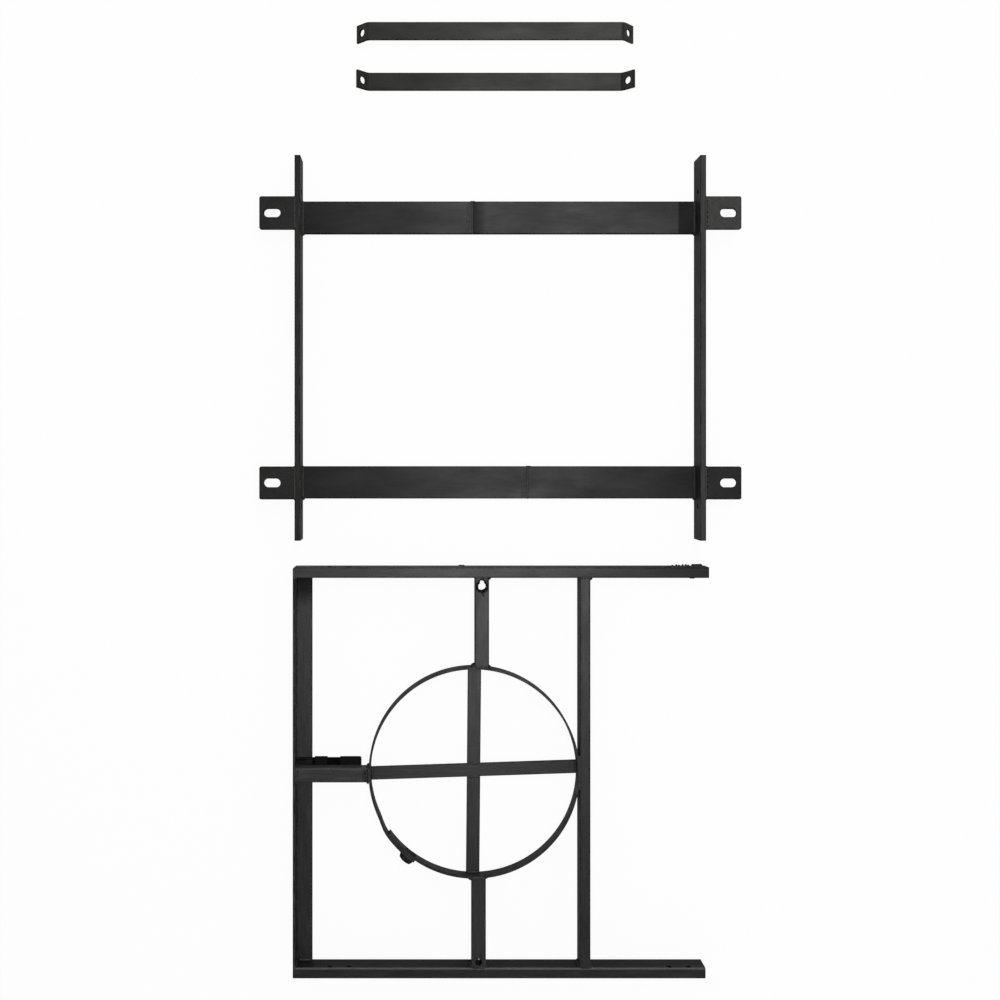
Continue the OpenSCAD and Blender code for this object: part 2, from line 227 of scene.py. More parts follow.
def painted_steel(
    name, level, rough, tint=(1.0, 1.0, 1.0), peel=0.25, wear=0.5, grain=(1, 1, 1), shine=0.5,
    streaks=0.5, tone=None, lift=None, rim=None, under=None,
):
    """Brushed-on satin paint over steel, with painted shade along its edges, rubbed bare in
    places.

    Level is its grey and rough its roughness. Tone is a function that gives a brightness
    factor, painted light and shade that darken the paint towards black. Lift is an axis and
    the grey painted on the faces that look along it: painted light where that grey is lighter
    than the paint, painted shade where it is darker. Rim is the same for the edges that lean
    along the axis, a painted highlight, and under is an axis whose far side gets painted shade."""
    s = Shader(name)
    body, brushed = brushed_coat(s, level, tint, grain, streaks)
    rounded, edge, rubbed, edge_shade = edge_masks(s, wear)
    # Painted shade: edges that are not rubbed go dark, to a tenth of the paint's grey.
    body = s.mix(s.math("MULTIPLY", edge_shade, 0.9), body, grey(level * 0.1, tint))
    body = s.mix(rubbed, body, grey(RUBBED_GREY, tint))
    gloss_clouds = s.noise(GLOSS_CLOUDS, 3, 0.6, grain)
    gloss = s.ramp(gloss_clouds, 0.3, 0.7, rough - 0.07, rough + 0.09)
    gloss = s.math("ADD", gloss, s.math("MULTIPLY", edge_shade, EDGE_ROUGHENS))
    painted_shade = edge_shade
    # Faces that look along the axis get the given grey: painted light when it is lighter than the
    # paint, painted shade when it is darker.
    if lift is not None:
        axis, amount = lift
        side = s.ramp(s.facing(axis), 0.3, 0.8)
        side = s.math("MULTIPLY", side, s.math("SUBTRACT", 1.0, painted_shade))
        body = s.mix(side, body, grey(amount, tint))
    # Painted shade on the faces that look away along the axis: near black, with a dimmed
    # reflection.
    if under is not None:
        below = s.ramp(s.facing(under), -0.3, -0.8)
        body = s.mix(below, body, grey(UNDER_SHADE_GREY, tint))
        painted_shade = s.math("MAXIMUM", painted_shade, below)
    # Painted highlight on the edges that lean along the axis: a lighter, smoother strip, clear of
    # the painted shade.
    if rim is not None:
        axis, amount = rim
        leaning = s.node("ShaderNodeSeparateXYZ", Vector=rounded).outputs[axis]
        strip = s.math("MULTIPLY", edge, s.ramp(leaning, 0.1, 0.3))
        body = s.mix(strip, body, grey(amount, tint))
        gloss = s.math("SUBTRACT", gloss, s.math("MULTIPLY", strip, RIM_SMOOTHS))
        painted_shade = s.math("MULTIPLY", painted_shade, s.math("SUBTRACT", 1.0, strip))
    # Painted light and shade: the tone factor darkens the paint towards black and makes it rougher
    # where it falls.
    if tone is not None:
        factor = tone(s)
        body = s.mix(factor, grey(0.0), body)
        shade = s.math("SUBTRACT", 1.0, factor)
        gloss = s.math("ADD", gloss, s.math("MULTIPLY", shade, SHADE_ROUGHENS))
    gloss = s.math("SUBTRACT", gloss, s.math("MULTIPLY", rubbed, RUB_SMOOTHS))
    s.feed(s.bsdf.inputs["Base Color"], body)
    # Painted shade on edges and undersides also takes most of the reflection away.
    s.feed(s.bsdf.inputs["Specular Tint"], s.mix(painted_shade, grey(1.0), grey(PAINTED_SHADE_TINT)))
    s.feed(s.bsdf.inputs["Roughness"], gloss)
    smooth = rounded if rim is not None else None
    pebbled = s.bump(s.noise(PEBBLES, 2, 0.5), peel, 0.00012, smooth)
    lined = s.bump(brushed, streaks * 0.5, 0.0002, pebbled)
    uneven = s.bump(s.noise(DENTS, 3, 0.5, grain), peel * 0.8, 0.0005, lined)
    s.feed(s.bsdf.inputs["Normal"], uneven)
    s.bsdf.inputs["Metallic"].default_value = 0.0
    s.bsdf.inputs["Specular IOR Level"].default_value = shine
    return s.material


def falling(axis, start, stop, least):
    """Brightness factor that falls from 1 at start to a least value at stop."""
    return lambda s: s.ramp(s.place(axis), start, stop, 1.0, least)


def falling_both_ways(near, far, least):
    """Brightness factor that falls off to the left and to the right of the middle."""
    return lambda s: s.ramp(s.math("ABSOLUTE", s.place("X"), 0.0), near, far, 1.0, least)


def falling_left(near, far, least, drop_x, smudge, soft=0.0015):
    """Brightness factor that falls off to the left, and drops sharply to a lower value right of a
    given x."""
    def factor(s):
        left = s.ramp(s.place("X"), -near, -far, 1.0, least)
        drop = s.ramp(s.place("X"), drop_x, drop_x + soft, 1.0, smudge)
        return s.math("MULTIPLY", left, drop)
    return factor


def seam_shadow(tone, seam_x, reach):
    """The same factor, darker in a ragged patch of painted shadow from a seam to its right."""
    def factor(s):
        distance = s.math("SUBTRACT", s.place("X"), seam_x)
        ragged = s.math("ADD", distance, s.math("MULTIPLY", s.noise(PATCHES, 3, 0.6), 0.3 * reach))
        beside = s.ramp(ragged, 0.15 * reach, 1.2 * reach, 0.4, 1.0)
        right = s.ramp(distance, -0.0002, 0.0002)
        patch = s.math("SUBTRACT", 1.0, s.math("MULTIPLY", right, s.math("SUBTRACT", 1.0, beside)))
        return s.math("MULTIPLY", tone(s), patch)
    return factor


def weld_paint(name, level, shine):
    """Gritty coat over a weld, over black patches and painted shade, or over small bright specks.
    """
    s = Shader(name)
    grit = s.ramp(s.noise(WELD_GRIT, 4, 0.65), 0.35, 0.7)
    s.feed(s.bsdf.inputs["Base Color"], s.mix(grit, grey(level * 0.55), grey(level * 1.5)))
    s.feed(s.bsdf.inputs["Roughness"], s.ramp(s.noise(WELD_GLOSS, 2), 0.3, 0.7, 0.42, 0.62))
    s.feed(s.bsdf.inputs["Normal"], s.bump(s.noise(WELD_GRAIN, 3, 0.6), 0.3, 0.0002))
    s.bsdf.inputs["Specular IOR Level"].default_value = shine
    return s.material


def floor_material():
    """White sheet: the object sees it dimmer than the camera does, as a lit backdrop."""
    bounced, behind_glow, glow = 0.45, 0.10, 0.94
    s = Shader("pale_floor")
    seen = s.tree.nodes.new("ShaderNodeLightPath").outputs["Is Camera Ray"]
    s.feed(s.bsdf.inputs["Base Color"], s.mix(seen, grey(bounced), grey(behind_glow)))
    s.bsdf.inputs["Emission Color"].default_value = grey(1.0)
    s.feed(s.bsdf.inputs["Emission Strength"], s.math("MULTIPLY", seen, glow))
    s.bsdf.inputs["Roughness"].default_value = 0.9
    s.bsdf.inputs["Specular IOR Level"].default_value = 0.0
    return s.material


# Tints, and stretches of the noises that run the streaks along an axis
OLIVE = (1.0, 1.0, 0.93)
DEEP_OLIVE = (1.0, 1.0, 0.82)
ALONG_X = (0.35, 1, 1)
ALONG_Y = (1, 0.35, 1)

# Places, in metres, where paints change with the position on the part
seam_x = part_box("upper_bar_left")[1].x
flange_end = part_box("left_stile")[1].x
bay_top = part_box("left_stile")[1].y
# Painted shade on the bars, darker towards both ends, and on the upper bar towards its left end;
# the upper bar also steps sharply darker right of x = 0.2545 m.
bar_end_shade = falling_both_ways(near=0.06, far=0.27, least=0.62)
upper_bar_shade = falling_left(near=0.06, far=0.27, least=0.6, drop_x=0.2545, smudge=0.45)

# The greys differ from part to part partly as painted light and shade, each set to how bright the
# part looks under the light; the olive tints are the paint's own colour.
paints = {
    # Painted shade towards the right.
    "guard_x": painted_steel(
        "guard_paint_x", level=0.017, rough=0.40, grain=ALONG_X, shine=0.85, streaks=0.7,
        tone=falling("X", start=-0.02, stop=0.11, least=0.7),
    ),
    "guard_y": painted_steel(
        "guard_paint_y", level=0.017, rough=0.40, grain=ALONG_Y, shine=0.84, streaks=0.6,
    ),
    "right_stile": painted_steel(
        "right_stile_paint", level=0.012, rough=0.42, grain=ALONG_Y, shine=0.75, streaks=0.6,
    ),
    # Painted shade towards the right end, and painted light on the side that looks along Y.
    "top_rail": painted_steel(
        "top_rail_paint", level=0.018, rough=0.40, grain=ALONG_X, shine=0.85, streaks=0.9,
        tone=falling("X", start=0.06, stop=0.29, least=0.35), lift=("Y", 0.068),
    ),
    # Painted shade on the side that looks along Y, and a painted highlight on the edges that lean
    # that way.
    "bottom_rail": painted_steel(
        "bottom_rail_paint", level=0.013, rough=0.42, grain=ALONG_X, shine=0.7, streaks=0.8,
        wear=0.3, lift=("Y", 0.004), rim=("Y", 0.32),
    ),
    # Painted light on the side that looks along Y, and a painted highlight on the edges that lean
    # that way.
    "stub": painted_steel(
        "stub_paint", level=0.023, rough=0.40, grain=ALONG_X, shine=0.85, streaks=0.9,
        lift=("Y", 0.085), rim=("Y", 0.09),
    ),
    # Painted shade at the top, under the top rail.
    "left_stile": painted_steel(
        "left_stile_paint", level=0.018, rough=0.40, grain=ALONG_Y, shine=0.9, streaks=0.8,
        tone=falling("Y", start=bay_top - 0.045, stop=bay_top - 0.02, least=0.2),
    ),
    "ring": painted_steel(
        "ring_paint", level=0.015, rough=0.40, peel=0.35, shine=0.8, streaks=0.6,
    ),
    # Painted shade towards the ends, a painted shadow right of the seam, and painted shade on the
    # faces that look away along Y.
    "upper_bar": painted_steel(
        "upper_bar_paint", level=0.0135, rough=0.42, grain=ALONG_X, streaks=0.25,
        tone=seam_shadow(upper_bar_shade, seam_x, reach=0.02), under="Y",
    ),
    # Painted shade towards both ends.
    "lower_bar": painted_steel(
        "lower_bar_paint", level=0.011, rough=0.42, grain=ALONG_X, streaks=0.25, tone=bar_end_shade,
    ),
    "ear_plain": painted_steel(
        "ear_paint", level=0.009, rough=0.44, tint=OLIVE, peel=0.5, shine=0.42, streaks=0.3,
    ),
    # Lit and shaded copies of the ear paint: painted light on the upper right ear, painted shade
    # on the lower right one.
    "ear_lit": painted_steel(
        "ear_paint_lit", level=0.02, rough=0.42, tint=OLIVE, peel=0.6, shine=0.6,
    ),
    "ear_shaded": painted_steel(
        "ear_paint_shaded", level=0.006, rough=0.46, tint=OLIVE, peel=0.6, shine=0.36,
    ),
    # Painted light on the side that looks along X.
    "post_left": painted_steel(
        "left_post_paint", level=0.009, rough=0.42, tint=OLIVE, grain=ALONG_Y, shine=0.42,
        streaks=0.7, lift=("X", 0.05),
    ),
    "post_right": painted_steel(
        "right_post_paint", level=0.015, rough=0.42, tint=OLIVE, grain=ALONG_Y, shine=0.55,
        streaks=0.8,
    ),
    # Painted shade towards the left.
    "strap_upper": painted_steel(
        "upper_strap_paint", level=0.021, rough=0.42, tint=DEEP_OLIVE, grain=ALONG_X, shine=0.6,
        streaks=0.3, tone=falling("X", start=0.14, stop=-0.2, least=0.72),
    ),
    # Painted shade towards the left.
    "strap_lower": painted_steel(
        "lower_strap_paint", level=0.017, rough=0.42, tint=DEEP_OLIVE, grain=ALONG_X,
        streaks=0.3, tone=falling("X", start=0.0, stop=-0.2, least=0.7),
    ),
    "latch": painted_steel(
        "latch_paint", level=0.003, rough=0.65, peel=0.15, wear=0.1, shine=0.22, streaks=0.2,
    ),
    # Over the left stile's flange the plate and bolt keep a dark grey as painted shade, the shade
    # that falls on the flange there; right of it they go near black, the latch's own colour.
    "latch_plate": painted_steel(
        "latch_plate_paint", level=0.007, rough=0.55, peel=0.3, shine=0.25, streaks=0.3,
        tone=falling("X", start=flange_end, stop=flange_end + 0.0005, least=0.15),
    ),
    "fastener": painted_steel(
        "fastener_paint", level=0.003, rough=0.5, wear=0.7, shine=0.3, streaks=0.2,
    ),
}
weld = weld_paint("weld_paint", level=0.024, shine=0.7)
# Near-black coat for burnt paint and dark gaps, and for painted shade where it reaches into holes.
soot_and_shade = weld_paint("soot_and_shade_paint", level=0.003, shine=0.15)
# Light coat for the small bright specks round the tube holes.
bare = weld_paint("bright_speck_paint", level=0.3, shine=0.9)

NODE_PAINT = {
    "guard_x": ["rail_end_plates", "cross_strip_across"],
    "top_rail": ["top_rail"],
    "bottom_rail": ["bottom_rail"],
    "stub": ["stub_tube"],
    "left_stile": ["left_stile"],
    "right_stile": ["right_stile"],
    "guard_y": ["upper_tube", "lower_tube", "cross_strip_upper", "cross_strip_lower"],
    "ring": ["ring_band"],
    "fastener": ["ring_bolt", "ring_nut"],
    "latch": ["latch_guide_outer", "latch_guide_inner", "latch_knob"],
    "latch_plate": ["latch_plate", "latch_rivets", "latch_bolt"],
    "upper_bar": ["upper_bar_left", "upper_bar_right"],
    "lower_bar": ["lower_bar_left", "lower_bar_right"],
    "ear_plain": ["ear_upper_left", "ear_lower_left"],
    "ear_lit": ["ear_upper_right"],
    "ear_shaded": ["ear_lower_right"],
    "post_left": ["post_left"],
    "post_right": ["post_right"],
    "strap_upper": ["strap_upper"],
    "strap_lower": ["strap_lower"],
}
for paint, names in NODE_PAINT.items():
    for name in names:
        mesh = nodes[name].data
        mesh.materials.clear()
        mesh.materials.append(paints[paint])


# ------------------------------------------------------------------- welds

# Thickness of the ring's band, width of the cross's strips, and how far inside the ring's
# outer face the welds at their ends start
BAND_T = 3 * MM
STRIP_W = 19 * MM
STRIP_INSET = 3.3 * MM
# How many times further over a short strip's outer end is than the middle of its box
SHORT_STRIP_LEAN = 1.8


def add_piece(name, verts, faces, body, material):
    """A smooth-shaded mesh that rides on a body."""
    mesh = bpy.data.meshes.new(name)
    mesh.from_pydata(verts, [], faces)
    mesh.polygons.foreach_set("use_smooth", [True] * len(mesh.polygons))
    mesh.materials.append(material)
    mesh.update()
    piece = bpy.data.objects.new(name, mesh)
    scene.collection.objects.link(piece)
    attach(piece, body)


class Welds:
    """Collects beads, burrs and spatter of one body into one mesh of closed lumps."""

    # Length of one slice of a bead, and points across its face
    STEP = 0.55 * MM
    AROUND = 9
    # Least and greatest height of a ripple
    LUMPS = (0.88, 1.12)
    # How much a bead swells and its face wanders, and the scales of those noises
    DRIFT, DRIFT_RATE = 0.22, 90
    WANDER, WANDER_RATE = 0.16, 140
    # How far the ripples bow at the bead's sides, in ripples
    BOW = 0.7
    # How deep a bead is rooted in the steel, as a part of its size
    CROWN_ROOT = 0.3
    FILLET_ROOT = 0.12
    # Reach of the random places in the noise
    PHASES = 50
    BURR_CORNERS = 5
    # Sides of a spatter ball, and radius and height of its two rings as parts of its size
    DOME_SIDES = 6
    DOME = ((0.75, 0.45), (1.0, -0.15))

    def __init__(self, seed):
        self.verts = []
        self.faces = []
        self.random = random.Random(seed)

    def bead(self, start, end, first, second, half_turn=False, pitch=2.3 * MM, depth=0.16):
        """A run of ripples from start to end. The cross-section is an arc from the vector
        first round to second: a corner fillet, or with half_turn a low crown on a flat.
        Depth is how deep the ripples are, as a part of the bead's size."""
        start, end = Vector(start), Vector(end)
        length = (end - start).length
        count = max(6, int(length / self.STEP))
        turn = math.pi if half_turn else math.pi / 2
        cap = min(0.5 * length, max(first.length, second.length))
        root = -self.CROWN_ROOT * second if half_turn else -self.FILLET_ROOT * (first + second)
        phase = self.random.random() * self.PHASES
        lumps = [self.random.uniform(*self.LUMPS) for _ in range(int(length / pitch) + 3)]
        base = len(self.verts)
        ring = self.AROUND + 1
        for i in range(count + 1):
            along = length * i / count
            centre = start.lerp(end, i / count)
            near = min(along, length - along)
            taper = math.sqrt(max(0.02, 1 - (1 - min(1.0, near / cap)) ** 2))
            drift = 1 + self.DRIFT * noise.noise(Vector((along * self.DRIFT_RATE, phase, 0)))
            wander = self.WANDER * noise.noise(Vector((along * self.WANDER_RATE, phase, 7)))
            for j in range(self.AROUND):
                u = j / (self.AROUND - 1)
                bow = pitch * self.BOW * (2 * u - 1) ** 2
                place = (along + bow) / pitch
                part = place - math.floor(place)
                lump = lumps[int(place) % len(lumps)]
                ripple = 1 - depth + depth * math.sqrt(1 - (2 * part - 1) ** 2) * lump
                size = taper * drift * ripple
                angle = turn * (u + wander * math.sin(math.pi * u))
                offset = first * math.cos(angle) + second * math.sin(angle)
                self.verts.append(centre + offset * size)
            self.verts.append(centre + root * taper)
        for i in range(count):
            for j in range(ring):
                a = base + i * ring + j
                b = base + i * ring + (j + 1) % ring
                self.faces.append((a, b, b + ring, a + ring))
        self.faces.append(tuple(base + j for j in reversed(range(ring))))
        self.faces.append(tuple(base + count * ring + j for j in range(ring)))

    def burr(self, centre, normal, radius, width, height, parts=28, gap=0.0):
        """A ragged lip round a drilled hole, left open over a gap in degrees at the top."""
        normal = Vector(normal).normalized()
        side = normal.orthogonal().normalized() if gap == 0 else X
        other = normal.cross(side)
        base = len(self.verts)
        phase = self.random.random() * self.PHASES
        sweep = 360 - gap
        steps = parts + (1 if gap else 0)
        for i in range(steps):
            angle = math.radians(90 + gap / 2 + sweep * i / parts)
            out = side * math.cos(angle) + other * math.sin(angle)
            spot = Vector((math.cos(angle) * 2, math.sin(angle) * 2, phase))
            rough = 1 + 0.5 * noise.noise(spot)
            wide = width * rough
            tall = height * rough
            middle = Vector(centre) + out * (radius + width * 0.5)
            self.verts += [
                middle - out * wide * 0.5 - normal * 0.3 * height,
                middle - out * wide * 0.35 + normal * tall * 0.8,
                middle + normal * tall,
                middle + out * wide * 0.4 + normal * tall * 0.5,
                middle + out * wide * 0.6 - normal * 0.3 * height,
            ]
        corners = self.BURR_CORNERS
        for i in range(parts):
            a = base + corners * i
            b = base + corners * ((i + 1) % steps)
            for j in range(corners):
                k = (j + 1) % corners
                self.faces.append((a + j, a + k, b + k, b + j))
        if gap:
            last = base + corners * (steps - 1)
            self.faces.append(tuple(base + j for j in reversed(range(corners))))
            self.faces.append(tuple(last + j for j in range(corners)))

    def spatter(self, centre, spread_a, spread_b, normal, count, largest=0.7, hole=None):
        """Small balls of weld metal stuck to the face round a joint, no further out than
        the spreads, and clear of any hole, which is given as its middle and its radius."""
        sides = self.DOME_SIDES
        first = spread_a.normalized()
        second = spread_b.normalized()
        for _ in range(count):
            a = max(-1.0, min(1.0, self.random.gauss(0, 0.5)))
            b = max(-1.0, min(1.0, self.random.gauss(0, 0.5)))
            size = self.random.uniform(0.35 * largest, largest) * MM
            spot = Vector(centre) + spread_a * a + spread_b * b
            if hole is not None and (spot - hole[0]).length < hole[1] + size:
                continue
            top = len(self.verts)
            upper = top + 1
            lower = upper + sides
            bottom = lower + sides
            self.verts.append(spot + normal * size * 0.7)
            for level, up in self.DOME:
                for j in range(sides):
                    angle = math.pi * j / (sides / 2)
                    flat = first * math.cos(angle) + second * math.sin(angle)
                    self.verts.append(spot + flat * size * level + normal * size * up)
            self.verts.append(spot - normal * size * 0.3)
            for j in range(sides):
                k = (j + 1) % sides
                self.faces.append((top, upper + j, upper + k))
                self.faces.append((upper + j, lower + j, lower + k, upper + k))
                self.faces.append((bottom, lower + k, lower + j))

    def finish(self, name, body, material=None):
        add_piece(name, self.verts, self.faces, body, material or weld)


def point(x, y, z):
    return Vector((x, y, z))


def half(low, high):
    return (low + high) / 2


def edge_x(low, high, side):
    return high.x if side > 0 else low.x


def frame_welds():
    """Bars inside the posts, ears outside them, and the butt seam in each bar."""
    w = Welds(seed=11)
    leg = 3.0 * MM
    bar_t_mm = 7
    ear_inset = 1.2 * MM
    under = 4.2 * MM
    past = 0.5 * MM
    for side, hand in ((-1, "left"), (1, "right")):
        post_lo, post_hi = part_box("post_" + hand)
        inner = post_hi.x if side < 0 else post_lo.x
        outer = post_lo.x if side < 0 else post_hi.x
        inward = X * -side
        for row in ("upper", "lower"):
            lo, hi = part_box(f"{row}_bar_{hand}")
            w.bead((inner, lo.y, hi.z), (inner, hi.y, hi.z), inward * leg, Z * leg)
            for y, away, size in ((lo.y, -Y, 2.6 * MM), (hi.y, Y, 1.0 * MM)):
                start = point(inner, y, 1.2 * MM)
                w.bead(start, start + Z * bar_t_mm * MM, inward * size * 1.3, away * size)
            spot = point(inner - side * 16 * MM, half(lo.y, hi.y), hi.z)
            w.spatter(spot, X * 9 * MM, Y * 16 * MM, Z, 7)
            lo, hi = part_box(f"ear_{row}_{hand}")
            bottom = lo.y + ear_inset
            top = hi.y - ear_inset
            w.bead(
                (outer, bottom, hi.z), (outer, top, hi.z),
                X * side * 1.5 * MM, Z * 0.6 * MM, half_turn=True, pitch=3.6 * MM, depth=0.55,
            )
            w.bead((outer, top, lo.z), (outer, bottom, lo.z), X * side * under, -Z * under)
            for y, away in ((lo.y, -Y), (hi.y, Y)):
                start = point(outer, y, hi.z - 0.6 * MM)
                w.bead(start, start - Z * 4.0 * MM, X * side * 1.4 * MM, away * 0.9 * MM)
            spot = point(outer + side * 10 * MM, half(lo.y, hi.y), hi.z)
            w.spatter(spot, X * 9 * MM, Y * 14 * MM, Z, 12)
    for row in ("upper", "lower"):
        lo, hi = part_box(f"{row}_bar_left")
        w.bead(
            (hi.x, lo.y - past, hi.z), (hi.x, hi.y + past, hi.z),
            X * 1.3 * MM, Z * 0.35 * MM, half_turn=True, pitch=3.2 * MM, depth=0.3,
        )
        for back in (3.4, 5.6, 8.2):
            x = hi.x - back * MM
            w.bead(
                (x, lo.y + 2 * MM, hi.z), (x + 1.5 * MM, hi.y - 3 * MM, hi.z),
                X * 0.7 * MM, Z * 0.12 * MM, half_turn=True, pitch=9 * MM, depth=0.5,
            )
        bump = 1.6 * MM
        z = hi.z - 1 * MM
        w.bead(
            (hi.x - 2.5 * MM, hi.y, z), (hi.x + 4.5 * MM, hi.y, z),
            Y * 0.7 * MM, Z * bump, half_turn=True, pitch=3.2 * MM,
        )
        w.spatter((hi.x, half(lo.y, hi.y), hi.z), X * 12 * MM, Y * 15 * MM, Z, 8)
    w.finish("frame_weld_beads", "mounting_frame")


def end_welds(w, node, rail_y, rail_side, legs, depth_from, depth_to):
    """Fillets up both sides of an upright where it meets a rail, and a low crown in front."""
    lo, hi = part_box(node)
    away = Y * -rail_side
    for side, leg in zip((-1, 1), legs):
        x = edge_x(lo, hi, side)
        w.bead((x, rail_y, depth_from), (x, rail_y, depth_to), X * side * leg, away * leg)
    w.bead(
        (lo.x + 1 * MM, rail_y, depth_to), (hi.x - 1 * MM, rail_y, depth_to),
        Y * 2.2 * MM, Z * 0.45 * MM, half_turn=True,
    )


def stile_welds(w, front):
    """Both stiles where they meet the rails."""
    stile_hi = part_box("right_stile")[1]
    angle_lo, angle_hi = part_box("left_stile")
    angle_t = 3 * MM
    flange_leg_mm = 3.2
    inside_leg_mm = 2.6
    for rail_y, rail_side in ((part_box("top_rail")[0].y, 1), (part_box("bottom_rail")[1].y, -1)):
        end_welds(
            w, "right_stile", rail_y, rail_side, (2.4 * MM, 3.6 * MM), 2 * MM, front - 0.5 * MM,
        )
        away = Y * -rail_side
        w.bead(
            (angle_lo.x + 4 * MM, rail_y, angle_t), (angle_hi.x, rail_y, angle_t),
            away * flange_leg_mm * MM, Z * flange_leg_mm * MM,
        )
        leg_x = angle_lo.x + angle_t
        w.bead(
            (leg_x, rail_y, 6 * MM), (leg_x, rail_y, front - 1 * MM),
            X * inside_leg_mm * MM, away * inside_leg_mm * MM,
        )
        w.bead(
            (angle_lo.x + 0.5 * MM, rail_y, front), (leg_x + 1 * MM, rail_y, front),
            Y * 2 * MM, Z * 0.4 * MM, half_turn=True,
        )
        w.spatter((stile_hi.x, rail_y + rail_side * 7 * MM, front), X * 13 * MM, Y * 4 * MM, Z, 6)


def tube_welds(w, front):
    """Upper and lower tube where they meet the rails, then the ring."""
    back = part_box("upper_tube")[0].z + 1 * MM
    near = front - 0.5 * MM
    end_welds(w, "upper_tube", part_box("top_rail")[0].y, 1, (1.2 * MM, 3.2 * MM), back, near)
    end_welds(w, "lower_tube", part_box("bottom_rail")[1].y, -1, (2.4 * MM, 1.2 * MM), back, near)
    middle, radius = ring_middle()
    for node, up in (("upper_tube", 1), ("lower_tube", -1)):
        lo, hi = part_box(node)
        for side, leg in ((-1, 5.2 * MM), (1, 3.4 * MM)):
            x = edge_x(lo, hi, side)
            drop = math.sqrt(radius**2 - (x + side * 2 * MM - middle.x) ** 2)
            y = middle.y + up * drop
            w.bead((x, y, back), (x, y, front - 0.8 * MM), X * side * leg, Y * up * leg * 0.8)
        y = middle.y + up * (radius + 0.2 * MM)
        w.bead(
            (lo.x + 1 * MM, y, front), (hi.x - 1 * MM, y, front),
            Y * 2.4 * MM, Z * 0.5 * MM, half_turn=True,
        )
        w.spatter((half(lo.x, hi.x), y + up * 6 * MM, front), X * 9 * MM, Y * 7 * MM, Z, 9)


def stub_welds(w, front):
    """Both ends of the stub tube, with three ridges by the ring and spatter along it."""
    lo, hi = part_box("stub_tube")
    leg = 3.2 * MM
    back = lo.z + 1 * MM
    near = front - 1 * MM
    for y, away in ((lo.y, -Y), (hi.y, Y)):
        w.bead((lo.x, y, back), (lo.x, y, near), X * leg, away * leg)
        w.bead((hi.x, y, back), (hi.x, y, near), -X * leg, away * leg)
    start = lo.y + 1 * MM
    stop = hi.y - 1 * MM
    w.bead(
        (lo.x, start, front), (lo.x, stop, front),
        X * 1.8 * MM, Z * 0.6 * MM, half_turn=True, pitch=3.0 * MM, depth=0.5,
    )
    for inset, wide, tall in ((0.0, 2.6, 0.9), (3.0, 1.8, 0.6), (6.0, 1.3, 0.35)):
        x = hi.x - inset * MM
        w.bead(
            (x, start, front), (x, stop, front),
            X * wide * MM, Z * tall * MM, half_turn=True, pitch=2.8 * MM, depth=0.5,
        )
    y = half(lo.y, hi.y)
    reach_y = Y * 8 * MM
    w.spatter((hi.x - 7 * MM, y, front), X * 7 * MM, reach_y, Z, 26, largest=1.0)
    w.spatter((lo.x + 4 * MM, y, front), X * 3 * MM, reach_y, Z, 14, largest=0.9)
    w.spatter((hi.x - 22 * MM, y, front), X * 16 * MM, reach_y, Z, 10)


def ring_welds(w, front):
    """The ring where it touches the right stile."""
    middle, _ = ring_middle()
    stile_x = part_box("right_stile")[0].x
    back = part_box("ring_band")[0].z + 1 * MM
    x = stile_x - 0.4 * MM
    ring_gap = 16 * MM
    for side in (-1, 1):
        y = middle.y + side * ring_gap
        w.bead((x, y, back), (x, y, front - 0.5 * MM), -X * 4 * MM, Y * side * 9 * MM)
    x = stile_x - 0.2 * MM
    reach = 24 * MM
    w.bead(
        (x, middle.y - reach, front), (x, middle.y + reach, front),
        X * 2.6 * MM, Z * 0.6 * MM, half_turn=True,
    )


def cross_welds(w):
    """The four ends of the cross on the ring, and both sides of its middle."""
    middle, radius = ring_middle()
    strip_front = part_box("cross_strip_across")[1].z
    half_w_mm = 9
    for node, out in (
        ("cross_strip_upper", Y), ("cross_strip_lower", -Y),
        ("cross_strip_across", X), ("cross_strip_across", -X),
    ):
        spot = strip_end(node, out, middle, radius) + Z * strip_front
        tangent = Vector((-out.y, out.x, 0))
        w.bead(
            spot - tangent * half_w_mm * MM, spot + tangent * half_w_mm * MM,
            -out * 3 * MM, Z * 3 * MM,
        )
    strip_edge_mm = 9.7
    for side in (-1, 1):
        spot = middle + Y * side * strip_edge_mm * MM + Z * strip_front
        w.bead(
            spot - X * half_w_mm * MM, spot + X * half_w_mm * MM,
            Y * 2.2 * MM, Z * 0.5 * MM, half_turn=True,
        )


def rail_end_welds(w):
    """Beads round the end plates at the rails' free ends."""
    for node in ("top_rail", "bottom_rail"):
        lo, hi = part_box(node)
        x = hi.x - 1.4 * MM
        for z, up in ((lo.z + 2 * MM, -1), (hi.z - 2 * MM, 1)):
            w.bead(
                (x, lo.y + 2.2 * MM, z), (x, hi.y - 2.2 * MM, z),
                X * 1.2 * MM, Z * up * 0.9 * MM,
            )


